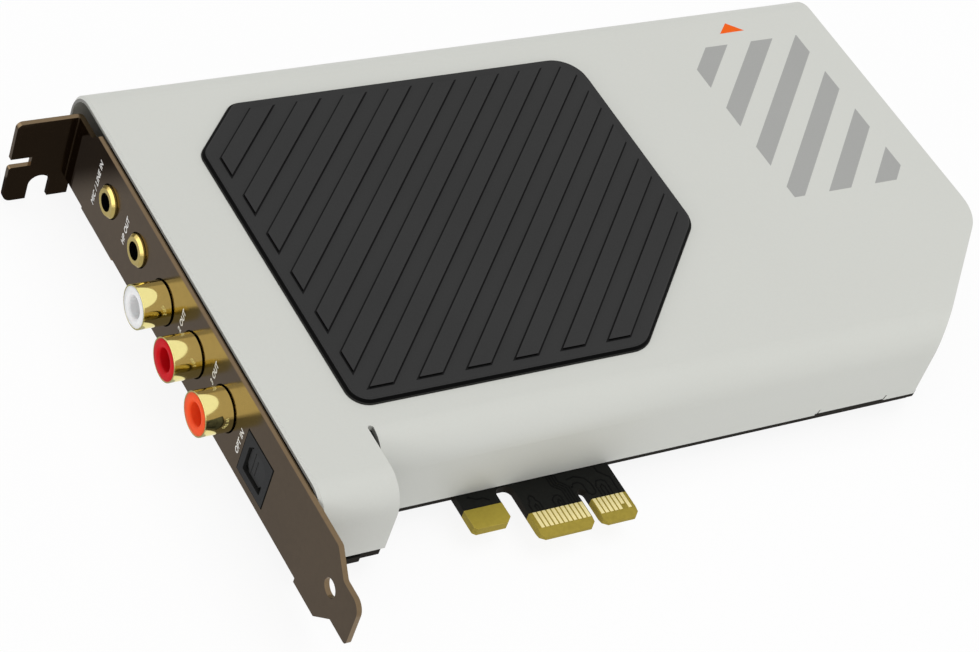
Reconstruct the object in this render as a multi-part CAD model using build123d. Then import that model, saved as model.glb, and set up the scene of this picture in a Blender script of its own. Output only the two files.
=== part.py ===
from build123d import *
import os

# Sound card for a one-lane expansion slot, in millimetres.
# +X runs from the bracket along the board, +Y from the edge contacts to the back edge,
# and +Z stands out of the component side. The origin is on the key notch's centre line,
# at the contact tips and at half the board's thickness.

# Board and card edge
pcb_t = 1.57
board_right = 109.0          # key to the far edge
board_back = 110.4           # contact tips to the back edge
board_low = 13.4             # contact tips to the lower edge
board_gap = 0.3              # between the board and the bracket
board_corner = 1.5
far_cut = 40.6               # height of the cut far corner's upper end
far_cut_r = 11.0
key_w = 1.9
key_depth = 8.3
long_tongue = 11.65
short_tongue = 7.65
tongue_chamfer = 0.9
tip_bevel_len = 1.9
tip_bevel_depth = 0.45
notch_w = 3.7                # between the long tongue and the lock tab
notch_top = 12.6
lock_tab_w = 8.0
lock_tab_low = 4.8
lock_tab_chamfer = 1.1
lock_tab_corner = 0.6
lobe_w = 18.0                # board's lower lobe beside the bracket
lobe_low = 7.0
lobe_step_w = 12.6
lobe_step = 1.0

# Edge contacts
pad_pitch = 1.0
pad_w = 0.7
pad_t = 0.06
pad_top = 5.6
pad_clear = 0.1              # above the tip bevel
key_to_pad = 1.5
long_pads = 11
short_pads = 7
short_pad_index = 5          # the presence contact, shorter than its neighbours
short_pad_cut = 1.1
lock_plate_top = 9.3

# Bracket, of one folded sheet
bracket_face = -60.56        # key to the outer face
bracket_t = 1.0
bracket_w = 18.42
strip_under = 0.865          # strip's near edge below the board's underside
edge_relief = 0.95
relief_low = 4.6
tab_seat = 105.78            # contact tips to the tab's seat
tab_len = 12.3
tab_left = -4.6
tab_corner = 1.2
tab_tip_r = 1.8
neck_in = 2.05               # neck's edge inside the strip's edge
neck_len = 7.7
taper_y = -3.1
tongue_len = 13.24           # tip below the contact tips
tongue_left = 2.6
tongue_w = 9.9
tongue_root = -7.4
tongue_corner = 2.4
tongue_near_r = 0.9
taper_r = 1.0
notch_x = 5.35               # screw notch's centre from the outer face
screw_notch_w = 4.42
screw_notch_depth = 5.55
slot_z = 5.0
slot_w = 2.1
slot_depth = 4.3
lower_hole_r = 1.85
lower_hole_y = -4.7
lower_hole_z = 7.7
bend_out = 0.9
bend_in = 0.25

# Bracket's lug under the board
lug_shift = 1.95             # its middle above the first jack's axis
lug_w = 13.8
lug_rim = 2.4                # past the screw hole
lug_corner = 2.0
window_rim = 0.9             # window round the jack's leads

# Cover, of one bent sheet
cover_t = 1.1
cover_height = 16.1          # clear height over the board
cover_end_gap = 0.2          # behind the bracket
cover_edge = 0.5             # bevel of the edge beside the bracket
cover_over = 1.3             # past the board's far edge
back_gap = 0.3
cover_bend = 6.3
wall_over = 0.6              # lower wall outside the board's lower edge
wall_lift = 0.2              # lower wall's end above the board
wing_w = 15.2
wing_drop = 9.0              # wing's wall below the main wall
wing_lift = 2.2              # wing's end above the main wall's end
slit_w = 1.1
slit_back = 0.5              # slit's end short of the bend
cover_cut_out = 0.9          # cut far corner outside the board's
cover_cut_r = 12.0
relief_x = 57.2              # shallow relief in the lower wall's end
relief_w = 16.8
relief_h = 0.4
relief_slit = 0.35           # leaning slit at each end of it
relief_deep = 1.3
relief_lean = 0.7

# Plate with diagonal bars on the cover
plate_from_end = 14.9
plate_len = 90.15
plate_low_margin = 4.25
plate_back_margin = 5.0
plate_near_cut = 12.0
plate_far_cut = 28.2
plate_near_r = 4.0
plate_far_r = 7.0
plate_h = 1.1
plate_bevel = 0.9
plate_inner_r = 0.3
bar_margin = 3.0
bar_pitch = 7.15
bar_w = 3.36
bar_h = 0.4
bar_first = 5.7              # first bar's centre line from the near cut
bar_sink = 0.1               # bar's root in the plate

# Jacks on the bracket
fit_gap = 0.05
jack_from_back = 21.45       # first jack's axis from the board's back edge
jack_pitch = 12.98
jack_space = 2.45            # between neighbouring jacks
jack_height = 8.08           # axis above the board
jack_nose = 0.9
jack_r = 3.15
jack_bore = 1.8
jack_seat = 2.5              # ferrule's length behind the bracket
jack_depth = 12.5
jack_roof = 3.9              # above the axis
jack_back = 1.5
jack_rim = 0.5
port_gap = 0.25              # round a socket in its bracket hole
leaf_w = 1.2
leaf_over = 1.0              # above the axis
leaf_room = 0.2
leaf_off = 0.45              # outside the jack's bore

# Phono sockets
phono_pitch = 13.31
phono_from_jack = 11.84      # first phono socket from the second jack
phono_height = 6.4
phono_r = 4.2
phono_wall = 0.5
phono_nose = 5.7
phono_seat = 3.2
phono_shoulder = 0.3         # barrel's full size ends in front of the bracket
phono_neck = 0.25            # smaller in radius behind it
phono_sink = 0.35            # insulator inside the shell's rim
phono_rear = 3.0             # housing behind the shells
phono_margin = 0.4           # housing beside the outer shells
phono_roof = 0.2             # housing above the shells
pin_bore = 1.65
blade_len = 5.0              # centre contact's blade beside the bore
tail_back = 0.5              # tails' legs behind the housing
strap_w = 1.6
strap_t = 0.3

# Optical socket
optical_w = 9.7
optical_gap = 4.05           # to the phono housing
optical_lift = 0.4           # underside above the board
optical_depth = 13.0
optical_nose = 0.1
optical_lip = 0.95
optical_mouth = 6.6
mouth_r = 0.3
optical_key = 1.2            # cut corners of the mouth
optical_room = 7.4           # cavity behind the mouth
optical_room_depth = 8.2
shutter_t = 0.7
shutter_play = 0.15
pivot_r = 0.3
pivot_len = 0.5
pivot_gap = 0.05
receiver_t = 2.6
receiver_lift = 1.2
receiver_lens = 0.6
receiver_lens_r = 1.1
receiver_lead = 0.4          # leads behind the housing
receiver_pitch = 2.54

# Leads through the board
lead_w = 0.5
lead_t = 0.3
lead_tail = 1.0
lead_gap = 0.15              # round a lead in the board's slot

# Fasteners
screw_r = 1.45
screw_clear = 1.6
screw_grip = 5.0
head_across = 5.5
head_h = 1.6
nut_across = 5.5
nut_h = 2.4
nut_gap = 0.6                # nut to the jack's housing
post_across = 5.0
post_in = 6.0                # posts inside the slit, the bends and the far end

# Chips, feet on both sides or all four
processor_at = (6.0, 40.0)
processor_w = 14.0
converter_out_at = (-22.0, 66.0)
converter_out_w = 10.0
converter_in_at = (-22.0, 80.0)
converter_in_w = 7.0
memory_at = (28.0, 38.0)
memory_len = 6.0
memory_w = 5.0
amplifier_x = -36.0
amplifier_ys = (70.0, 82.0)
op_amp_xs = (-36.0, -26.0)
op_amp_ys = (36.0, 46.0, 56.0)
op_amp_len = 5.0
op_amp_w = 4.0
chip_h = 1.4
chip_foot = 0.8
foot_inset = 0.3
foot_share = 0.25            # of the chip's height

# Other parts on the board
crystal_at = (6.0, 56.0)
crystal_len = 11.0
crystal_w = 4.6
crystal_h = 3.4
supply_xs = (44.0, 56.0, 68.0)
regulator_y = 30.0
regulator_len = 6.5
regulator_w = 3.5
regulator_h = 1.7
regulator_tab_w = 3.0
regulator_tab_len = 3.4
regulator_tab_t = 0.4
inductor_y = 42.0
inductor_w = 6.6
inductor_h = 3.0
can_r = 4.0
can_h = 10.2
can_base = 8.4
can_base_h = 1.2
can_base_cut = 1.7
can_pitch = 10.5
near_cans_at = (-18.0, 92.0)
near_cans = 3
far_cans_at = (62.0, 62.0)
far_cans = 1
film_at = (-6.0, 76.0)
film_count = 5
film_pitch = 9.0
film_len = 7.2
film_w = 4.5
film_h = 7.0
relay_xs = (48.0, 60.0)
relay_y = 76.0
relay_len = 7.4
relay_w = 10.2
relay_h = 6.0
ceramic_at = (22.0, 50.0)
ceramic_rows = 3
ceramic_columns = 4
ceramic_pitch = 4.0
ceramic_len = 2.0
ceramic_w = 1.25
ceramic_h = 1.0

# Pin header at the open end
header_in = 12.0             # from the board's far edge
header_y = 78.0
header_pins_long = 5
header_rows = 2
pin_pitch = 2.54
pin_w = 0.64
pin_len = 6.0

# Levels and positions that follow
board_top = pcb_t / 2
board_under = -pcb_t / 2
bracket_in = bracket_face + bracket_t
bracket_left = board_under - strip_under
bracket_right = bracket_left + bracket_w
board_left = bracket_in + board_gap
cover_in = board_top + cover_height
cover_top = cover_in + cover_t
cover_left = bracket_in + cover_end_gap
cover_right = board_right + cover_over
cover_back = board_back + back_gap + cover_t
wall_y = board_low - wall_over
wall_end = board_top + wall_lift
wing_y = wall_y - wing_drop
wing_end = wall_end + wing_lift
slit_left = cover_left + wing_w
slit_right = slit_left + slit_w
flat_low = wall_y + cover_bend
flat_back = cover_back - cover_bend
jack_axis = board_top + jack_height
jack_ys = [board_back - jack_from_back, board_back - jack_from_back - jack_pitch]
jack_end = board_left + jack_depth
phono_axis = board_top + phono_height
phono_ys = [jack_ys[1] - phono_from_jack - i * phono_pitch for i in range(3)]
shell_front = bracket_face - phono_nose
shell_rear = bracket_in + phono_seat
blade_x = shell_rear - blade_len
blade_off = pin_bore + strap_t / 2
phono_low = phono_ys[-1] - phono_r - phono_margin
phono_high = phono_ys[0] + phono_r + phono_margin
phono_back = shell_rear + phono_rear
strap_off = phono_r - (phono_wall + phono_neck) / 2
optical_y = phono_low - optical_gap - optical_w / 2
optical_low = board_top + optical_lift
optical_z = optical_low + optical_w / 2
optical_front = bracket_face - optical_nose
optical_back = bracket_face + optical_depth
lip_x = optical_front + optical_lip
room_low = optical_z - optical_room / 2
room_high = optical_z + optical_room / 2
room_end = lip_x + optical_room_depth
shutter_x = lip_x + shutter_play + shutter_t / 2
pivot_z = room_high - shutter_play - shutter_t / 2
receiver_back = optical_back + receiver_lead + lead_w / 2
lead_end = board_under - lead_tail
lug_y = jack_ys[0] + lug_shift
lug_under = board_under - bracket_t
short_end = key_w / 2 + short_tongue
long_end = -key_w / 2 - long_tongue
lock_right = long_end - notch_w
lock_left = lock_right - lock_tab_w

# Where leads and screws pass the board
leaf_step = (jack_depth - jack_seat) / 4
leaf_sites = [(bracket_in + jack_seat + (i + 1) * leaf_step, side) for i, side in enumerate((1, -1, 1))]
leaf_y = jack_bore + leaf_off
jack_leads = [(x, y + side * leaf_y) for y in jack_ys for x, side in leaf_sites]
tail_x = phono_back + tail_back
phono_leads = [(tail_x, y + off) for y in phono_ys for off in (blade_off, strap_off)]
receiver_x = optical_back + receiver_lead
optical_leads = [(receiver_x, optical_y + i * receiver_pitch) for i in (-1, 0, 1)]
lug_site = (jack_end + nut_gap + nut_across / 2, lug_y)
post_sites = [
    (slit_right + post_in, flat_back - post_in),
    (board_right - post_in, flat_back - post_in),
    ((board_left + board_right) / 2, flat_low + post_in),
]


# Shared shapes


def block(x0, x1, y0, y1, z0, z1):
    return Pos((x0 + x1) / 2, (y0 + y1) / 2, (z0 + z1) / 2) * Box(x1 - x0, y1 - y0, z1 - z0)


def rod_x(r, x0, x1, y, z):
    return Pos((x0 + x1) / 2, y, z) * Rot(0, 90, 0) * Cylinder(r, x1 - x0)


def rod_y(r, y0, y1, x, z):
    return Pos(x, (y0 + y1) / 2, z) * Rot(90, 0, 0) * Cylinder(r, y1 - y0)


def rod_z(r, z0, z1, x, y):
    return Pos(x, y, (z0 + z1) / 2) * Cylinder(r, z1 - z0)


def outline(corners):
    """Closed face from (u, v, corner radius) in order."""
    face = make_face(Polyline(*[(u, v) for u, v, r in corners], close=True))
    for u, v, r in corners:
        if r:
            face = fillet(face.vertices().sort_by_distance((u, v, 0))[0], r)
    return face


def along_x(face, x0, x1):
    return extrude(Plane.YZ.offset(x0) * face, x1 - x0)


def along_y(face, y0, y1):
    return extrude(Plane.XZ.offset(-y1) * face, y1 - y0)


def along_z(face, z0, z1):
    return extrude(Plane.XY.offset(z0) * face, z1 - z0)


def lead(x, y, top):
    """A flat lead from the given height down through the board."""
    return block(x - lead_w / 2, x + lead_w / 2, y - lead_t / 2, y + lead_t / 2, lead_end, top)


# Board with its card edge


def board_outline():
    key = key_w / 2
    c = tongue_chamfer
    lobe_right = board_left + lobe_w
    step_x = board_left + lobe_step_w
    return outline([
        (board_left, board_back, board_corner),
        (board_right, board_back, board_corner),
        (board_right, far_cut, far_cut_r),
        (board_right - far_cut + board_low, board_low, board_corner),
        (short_end, board_low, 0),
        (short_end, c, 0),
        (short_end - c, 0, 0),
        (key + c, 0, 0),
        (key, c, 0),
        (key, key_depth, key * 0.96),
        (-key, key_depth, key * 0.96),
        (-key, c, 0),
        (-key - c, 0, 0),
        (long_end + c, 0, 0),
        (long_end, c, 0),
        (long_end, notch_top, notch_w * 0.4),
        (lock_right, notch_top, notch_w * 0.4),
        (lock_right, lock_tab_low + lock_tab_chamfer, 0),
        (lock_right - lock_tab_chamfer, lock_tab_low, 0),
        (lock_left + lock_tab_corner, lock_tab_low, 0),
        (lock_left, lock_tab_low + lock_tab_corner, 0),
        (lock_left, board_low, 0),
        (lobe_right, board_low, board_corner),
        (lobe_right, lobe_low, lobe_step / 2),
        (step_x, lobe_low, 0),
        (step_x - lobe_step, lobe_low - lobe_step, 0),
        (board_left, lobe_low - lobe_step, 0),
    ])


def make_board():
    board = along_z(board_outline(), board_under, board_top)
    for side in (1, -1):
        bevel = outline([
            (-1, side * (board_top - tip_bevel_depth), 0),
            (0, side * (board_top - tip_bevel_depth), 0),
            (tip_bevel_len, side * board_top, 0),
            (tip_bevel_len, side * (board_top + 1), 0),
            (-1, side * (board_top + 1), 0),
        ])
        board -= along_x(bevel, long_end - 1, short_end + 1)
    for x, y in jack_leads + phono_leads + optical_leads:
        across = lead_w / 2 + lead_gap
        deep = lead_t / 2 + lead_gap
        board -= block(x - across, x + across, y - deep, y + deep, board_under - 1, board_top + 1)
    for x, y in post_sites + [lug_site]:
        board -= rod_z(screw_clear, board_under - 1, board_top + 1, x, y)
    return board


def edge_contacts(z0, z1):
    """One face's contacts, pitched outward from both sides of the key."""
    pads = []
    for i in range(long_pads):
        x = -key_to_pad - i * pad_pitch
        pads.append(block(x - pad_w / 2, x + pad_w / 2, tip_bevel_len + pad_clear, pad_top, z0, z1))
    for i in range(short_pads):
        x = key_to_pad + i * pad_pitch
        low = tip_bevel_len + pad_clear + (short_pad_cut if i == short_pad_index else 0)
        pads.append(block(x - pad_w / 2, x + pad_w / 2, low, pad_top, z0, z1))
    return pads


def lock_plating():
    """Plating on both faces of the lock tab's lower part."""
    area = Pos(lock_right - lock_tab_w / 2, lock_plate_top / 2) * Rectangle(lock_tab_w, lock_plate_top)
    face = board_outline() & area
    return [along_z(face, board_top, board_top + pad_t), along_z(face, board_under - pad_t, board_under)]


# Bracket


def bracket_strip():
    """The upright strip: neck, wide part, taper and tongue."""
    tab_right = bracket_right - neck_in
    tongue_right = tongue_left + tongue_w
    return outline([
        (tab_seat + bracket_t, tab_right, 0),
        (tab_seat - neck_len + neck_in, tab_right, 0),
        (tab_seat - neck_len, bracket_right, 0),
        (taper_y, bracket_right, taper_r),
        (taper_y - (bracket_right - tongue_right), tongue_right, taper_r),
        (-tongue_len, tongue_right, tongue_corner),
        (-tongue_len, tongue_left, tongue_near_r),
        (tongue_root, tongue_left, 0),
        (tongue_root + tongue_left - bracket_left, bracket_left, 0),
        (relief_low, bracket_left, 0),
        (relief_low, bracket_left + edge_relief, 0),
        (tab_seat + bracket_t, bracket_left + edge_relief, 0),
    ])


def bracket_tab():
    """The folded tab with its slot and its open screw notch."""
    tab_right = bracket_right - neck_in
    tab_end = bracket_face - tab_len
    slot_end = tab_end + slot_depth
    notch_l = bracket_face - notch_x - screw_notch_w / 2
    notch_r = bracket_face - notch_x + screw_notch_w / 2
    notch_end = tab_left + screw_notch_depth
    return outline([
        (bracket_in, tab_right, 0),
        (tab_end, tab_right, tab_corner),
        (tab_end, slot_z + slot_w / 2, 0),
        (slot_end, slot_z + slot_w / 2, 0),
        (slot_end, slot_z - slot_w / 2, 0),
        (tab_end, slot_z - slot_w / 2, tab_corner / 2),
        (tab_end, tab_left, tab_tip_r),
        (notch_l, tab_left, 0),
        (notch_l, notch_end, screw_notch_w * 0.49),
        (notch_r, notch_end, screw_notch_w * 0.49),
        (notch_r, tab_left, 0),
        (bracket_in, tab_left, 0),
    ])


def bracket_lug():
    """Lug folded under the board, with a window round the first jack's leads."""
    low = lug_y - lug_w / 2
    high = lug_y + lug_w / 2
    end = lug_site[0] + screw_clear + lug_rim
    sole = outline([
        (bracket_face, low, 0),
        (end, low, lug_corner),
        (end, high, lug_corner),
        (bracket_face, high, 0),
    ])
    lug = along_z(sole, lug_under, board_under)
    lug += block(bracket_face, bracket_in, low, high, lug_under, board_top)
    lug -= rod_z(screw_clear, lug_under - 1, board_under + 1, *lug_site)
    reach = leaf_y + window_rim
    return lug - block(leaf_sites[0][0] - window_rim, leaf_sites[-1][0] + window_rim,
                       jack_ys[0] - reach, jack_ys[0] + reach, lug_under - 1, board_under + 1)


def make_bracket():
    tab_top = tab_seat + bracket_t
    bracket = along_x(bracket_strip(), bracket_face, bracket_in)
    bracket += along_y(bracket_tab(), tab_seat, tab_top)
    bracket += bracket_lug()
    front = bracket_face - 1
    back = bracket_in + board_gap / 2
    for y in jack_ys:
        bracket -= rod_x(jack_r + port_gap, front, back, y, jack_axis)
    for y in phono_ys:
        bracket -= rod_x(phono_r + port_gap, front, back, y, phono_axis)
    half = optical_w / 2 + port_gap
    bracket -= block(front, back, optical_y - half, optical_y + half, optical_z - half, optical_z + half)
    bracket -= rod_x(lower_hole_r, front, back, lower_hole_y, lower_hole_z)
    outer = bracket.edges().filter_by(Axis.Z).sort_by_distance((bracket_in, tab_top, slot_z))[:1]
    bracket = fillet(outer, bend_out)
    inner = bracket.edges().filter_by(Axis.Z).sort_by_distance((bracket_face, tab_seat, slot_z))[:1]
    bracket = fillet(inner, bend_in)
    heel = bracket.edges().filter_by(Axis.Y).sort_by_distance((bracket_face, lug_y, lug_under))[:1]
    return fillet(heel, bend_out)


# Cover


def cover_section(wall, end):
    """The bent sheet seen from its end: lower wall, top and back wall."""
    return outline([
        (wall, end, 0),
        (wall, cover_top, cover_bend),
        (cover_back, cover_top, cover_bend),
        (cover_back, board_under, 0),
        (cover_back - cover_t, board_under, 0),
        (cover_back - cover_t, cover_in, cover_bend - cover_t),
        (wall + cover_t, cover_in, cover_bend - cover_t),
        (wall + cover_t, end, 0),
    ])


def make_cover():
    """The main length and the lower wing, parted by a slit, then trimmed at the far corner."""
    under = board_under - 1
    over = cover_top + 1
    slit_top = flat_low - slit_back
    cover = along_x(cover_section(wall_y, wall_end), cover_left, cover_right)
    cover -= block(cover_left - 1, slit_right, wing_y - 1, slit_top, under, over)
    cover += along_x(cover_section(wing_y, wing_end), cover_left, slit_left)
    cover -= rod_z(slit_w / 2, under, over, slit_left + slit_w / 2, slit_top)
    cut_top = far_cut + cover_over - cover_cut_out
    plan = outline([
        (cover_left, wing_y - 1, 0),
        (cover_right - cut_top + wing_y - 1, wing_y - 1, 0),
        (cover_right, cut_top, cover_cut_r),
        (cover_right, cover_back + 1, 0),
        (cover_left, cover_back + 1, 0),
    ])
    cover &= along_z(plan, under, over)
    relief = [(relief_x, relief_x, relief_w, relief_h)]
    for x in (relief_x, relief_x + relief_w - relief_slit):
        relief.append((x, x + relief_lean, relief_slit, relief_deep))
    for low_x, high_x, width, height in relief:
        cut = outline([
            (low_x, wall_end - 1, 0),
            (low_x + width, wall_end - 1, 0),
            (high_x + width, wall_end + height, 0),
            (high_x, wall_end + height, 0),
        ])
        cover -= along_y(cut, wall_y - 1, wall_y + cover_t + 1)
    rim = cover.edges().filter_by_position(Axis.X, cover_left - cover_t / 9, cover_left + cover_t / 9)
    bends = rim.filter_by(GeomType.CIRCLE).filter_by(lambda edge: edge.radius > cover_bend - cover_t / 2)
    flats = rim.filter_by(GeomType.LINE).filter_by(
        lambda edge: (edge @ 0.5).Z > cover_top - cover_t / 2 or not
        wing_y + cover_t / 2 < (edge @ 0.5).Y < cover_back - cover_t / 2)
    return chamfer(bends + flats.filter_by(lambda edge: edge.length > 2 * cover_t), cover_edge)


# Plate on the cover


def plate_outline(inset):
    """The six-sided plan, drawn in by the same distance on every side."""
    left = cover_left + plate_from_end + inset
    right = cover_left + plate_from_end + plate_len - inset
    low = flat_low + plate_low_margin + inset
    back = flat_back - plate_back_margin - inset
    slant = inset * (2 - 2 ** 0.5)
    near = plate_near_cut - slant
    far = plate_far_cut - slant
    near_r = max(plate_near_r - inset, plate_inner_r)
    far_r = max(plate_far_r - inset, plate_inner_r)
    return outline([
        (left, low, near_r),
        (right - far, low, far_r),
        (right, low + far, far_r),
        (right, back, far_r),
        (left + near, back, near_r),
        (left, back - near, near_r),
    ])


def make_plate():
    """The plate with a bevelled rim, and bars across it trimmed to its plan."""
    top = cover_top + plate_h
    plate = along_z(plate_outline(0), cover_top, top)
    plate = chamfer(plate.faces().sort_by(Axis.Z)[-1].edges(), plate_bevel)
    field = plate_outline(bar_margin)
    left = cover_left + plate_from_end
    right = left + plate_len
    low = flat_low + plate_low_margin
    back = flat_back - plate_back_margin
    diagonal = 2 ** 0.5
    first = left - back + plate_near_cut + bar_first * diagonal
    last = right - low - plate_far_cut - (bar_margin + bar_w / 2) * diagonal
    count = int((last - first) / (bar_pitch * diagonal)) + 1
    for i in range(count):
        offset = first + i * bar_pitch * diagonal
        middle = (left + right + low + back) / 4
        centre = Pos(middle + offset / 2, middle - offset / 2)
        strip = centre * Rot(0, 0, 45) * Rectangle(2 * plate_len, bar_w)
        plate += along_z(field & strip, top - bar_sink, top + bar_h)
    return plate


# Jacks


def jack_ferrule(y):
    front = bracket_face - jack_nose
    rear = bracket_in + jack_seat
    body = rod_x(jack_r, front, rear, y, jack_axis)
    rim = body.edges().filter_by(GeomType.CIRCLE).sort_by(Axis.X)[:1]
    body = chamfer(rim, jack_rim)
    return body - rod_x(jack_bore, front - 1, rear + 1, y, jack_axis)


def jack_housing(y):
    """Body behind the bracket, with a square seat, a plug bore and contact slots open below."""
    half = (jack_pitch - jack_space) / 2
    seat = bracket_in + jack_seat
    body = block(board_left, jack_end, y - half, y + half, board_top, jack_axis + jack_roof)
    rest = jack_r + fit_gap
    body -= block(board_left - 1, seat, y - rest, y + rest, jack_axis - rest, jack_axis + rest)
    body -= rod_x(jack_bore + fit_gap, seat - 1, jack_end - jack_back, y, jack_axis)
    across = leaf_w / 2 + leaf_room
    deep = lead_t / 2 + leaf_room
    for x, side in leaf_sites:
        at = y + side * leaf_y
        body -= block(x - across, x + across, at - deep, at + deep,
                      board_top - 1, jack_axis + leaf_over + leaf_room)
    return body


def jack_contacts(y):
    leaves = []
    for x, side in leaf_sites:
        at = y + side * leaf_y
        leaf = block(x - leaf_w / 2, x + leaf_w / 2, at - lead_t / 2, at + lead_t / 2,
                     board_top, jack_axis + leaf_over)
        leaves.append(leaf + lead(x, at, board_top + leaf_over))
    return leaves


# Phono sockets


def phono_shell(y):
    """Barrel with a smaller neck behind, and a strap from its rear edge down to the board."""
    body = rod_x(phono_r, shell_front, bracket_face - phono_shoulder, y, phono_axis)
    body += rod_x(phono_r - phono_neck, bracket_face - phono_shoulder, shell_rear, y, phono_axis)
    body -= rod_x(phono_r - phono_wall, shell_front - 1, shell_rear + 1, y, phono_axis)
    side = y + strap_off
    body += block(shell_rear - strap_t, tail_x + lead_w / 2, side - strap_t / 2, side + strap_t / 2,
                  phono_axis - strap_w / 2, phono_axis + strap_w / 2)
    return body + lead(tail_x, side, phono_axis)


def phono_insulator(y):
    """Insert bored for the plug's pin, slotted at the rear for the blade."""
    front = shell_front + phono_sink
    body = rod_x(phono_r - phono_wall - fit_gap, front, shell_rear, y, phono_axis)
    body -= rod_x(pin_bore, front - 1, shell_rear + 1, y, phono_axis)
    tall = strap_w / 2 + fit_gap
    return body - block(blade_x - fit_gap, shell_rear + 1, y, y + pin_bore + strap_t + fit_gap,
                        phono_axis - tall, phono_axis + tall)


def phono_contact(y):
    """Blade beside the bore, with a tail that turns down to the board."""
    side = y + blade_off
    blade = block(blade_x, tail_x + lead_w / 2, side - strap_t / 2, side + strap_t / 2,
                  phono_axis - strap_w / 2, phono_axis + strap_w / 2)
    return blade + lead(tail_x, side, phono_axis)


def phono_housing():
    """Block behind the bracket with a square seat for each shell."""
    rest = phono_r - phono_neck + fit_gap
    roof = phono_axis + phono_r + phono_roof
    body = block(board_left, phono_back, phono_low, phono_high, board_top, roof)
    deep = strap_t / 2 + fit_gap
    tall = strap_w / 2 + fit_gap
    for y in phono_ys:
        body -= block(board_left - 1, shell_rear, y - rest, y + rest, phono_axis - rest, phono_axis + rest)
        for side in (y + blade_off, y + strap_off):
            body -= block(shell_rear - 1, phono_back + 1, side - deep, side + deep,
                          phono_axis - tall, phono_axis + tall)
    return body


# Optical socket


def mouth_face():
    """The mouth: a square with its two upper corners cut as the plug's key."""
    half = optical_mouth / 2
    low = optical_z - half
    high = optical_z + half
    return outline([
        (optical_y - half, low, mouth_r),
        (optical_y + half, low, mouth_r),
        (optical_y + half, high - optical_key, 0),
        (optical_y + half - optical_key, high, 0),
        (optical_y - half + optical_key, high, 0),
        (optical_y - half, high - optical_key, 0),
    ])


def optical_housing():
    """Box with a keyed mouth, a wider cavity behind it and a bearing for each pivot."""
    half = optical_w / 2
    room = optical_room / 2
    low = optical_y - half
    high = optical_y + half
    body = block(optical_front, optical_back, low, high, optical_low, optical_low + optical_w)
    body += block(board_left, optical_back, low, high, board_top, optical_low)
    body -= along_x(mouth_face(), optical_front - 1, lip_x + shutter_play)
    body -= block(lip_x, room_end, optical_y - room, optical_y + room, room_low, room_high)
    body -= block(room_end - 1, optical_back + 1, optical_y - room, optical_y + room,
                  board_top + receiver_lift - shutter_play, room_high)
    reach = room + pivot_len
    return body - rod_y(pivot_r + pivot_gap, optical_y - reach, optical_y + reach, shutter_x, pivot_z)


def optical_shutter():
    """Flap behind the mouth, round at its upper edge, with a pivot at each end."""
    half = optical_room / 2 - shutter_play
    reach = half + pivot_len
    flap = block(shutter_x - shutter_t / 2, shutter_x + shutter_t / 2,
                 optical_y - half, optical_y + half, room_low + shutter_play, pivot_z)
    flap += rod_y(shutter_t / 2, optical_y - half, optical_y + half, shutter_x, pivot_z)
    return flap + rod_y(pivot_r, optical_y - reach, optical_y + reach, shutter_x, pivot_z)


def optical_receiver():
    """Receiver block with its round lens, closing the housing's back."""
    room = optical_room / 2 - shutter_play
    front = receiver_back - receiver_t
    body = block(front, receiver_back, optical_y - room, optical_y + room,
                 board_top + receiver_lift, optical_z + room)
    return body + rod_x(receiver_lens_r, front - receiver_lens, front, optical_y, optical_z)


def receiver_leads():
    return [lead(x, y, board_top + receiver_lift) for x, y in optical_leads]


# Parts on the board


def on_board(x, y, length, width, height):
    return block(x - length / 2, x + length / 2, y - width / 2, y + width / 2, board_top, board_top + height)


def dual_chip(x, y, length, width):
    """Chip body with a foot strip along both long sides."""
    body = on_board(x, y, length, width, chip_h)
    return body + on_board(x, y, length - 2 * foot_inset, width + 2 * chip_foot, chip_h * foot_share)


def quad_chip(x, y, side):
    """Square chip with a foot strip along all four sides."""
    wide = side + 2 * chip_foot
    short = side - 2 * foot_inset
    body = dual_chip(x, y, side, side)
    return body + on_board(x, y, wide, short, chip_h * foot_share)


def regulator(x):
    tab = on_board(x, regulator_y + regulator_w / 2, regulator_tab_w, regulator_tab_len, regulator_tab_t)
    return on_board(x, regulator_y, regulator_len, regulator_w, regulator_h) + tab


def electrolytic_can(x, y):
    return rod_z(can_r, board_top + can_base_h, board_top + can_base_h + can_h, x, y)


def electrolytic_base(x, y):
    half = can_base / 2
    cut = half - can_base_cut
    face = outline([
        (x - half, y - half, 0),
        (x + cut, y - half, 0),
        (x + half, y - cut, 0),
        (x + half, y + cut, 0),
        (x + cut, y + half, 0),
        (x - half, y + half, 0),
    ])
    return along_z(face, board_top, board_top + can_base_h)


def ceramic_capacitors():
    x, y = ceramic_at
    sites = [(x + i * ceramic_pitch, y + j * ceramic_pitch)
             for i in range(ceramic_columns) for j in range(ceramic_rows)]
    return [on_board(u, v, ceramic_len, ceramic_w, ceramic_h) for u, v in sites]


can_sites = [(near_cans_at[0] + i * can_pitch, near_cans_at[1]) for i in range(near_cans)]
can_sites += [(far_cans_at[0] + i * can_pitch, far_cans_at[1]) for i in range(far_cans)]
film_sites = [(film_at[0] + i * film_pitch, film_at[1]) for i in range(film_count)]
header_x = board_right - header_in


def header_body():
    half = header_pins_long * pin_pitch / 2
    return block(header_x, header_x + header_rows * pin_pitch, header_y - half, header_y + half,
                 board_top, board_top + header_rows * pin_pitch)


def header_pins():
    pins = []
    half = pin_w / 2
    x0 = header_x + header_rows * pin_pitch
    for i in range(header_pins_long):
        y = header_y + (i - (header_pins_long - 1) / 2) * pin_pitch
        for row in range(header_rows):
            z = board_top + (row + 0.5) * pin_pitch
            pins.append(block(x0, x0 + pin_len, y - half, y + half, z - half, z + half))
    return pins


# Fasteners


def hexagon(x, y, across):
    return Pos(x, y) * RegularPolygon(across / 2, 6, major_radius=False)


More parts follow.
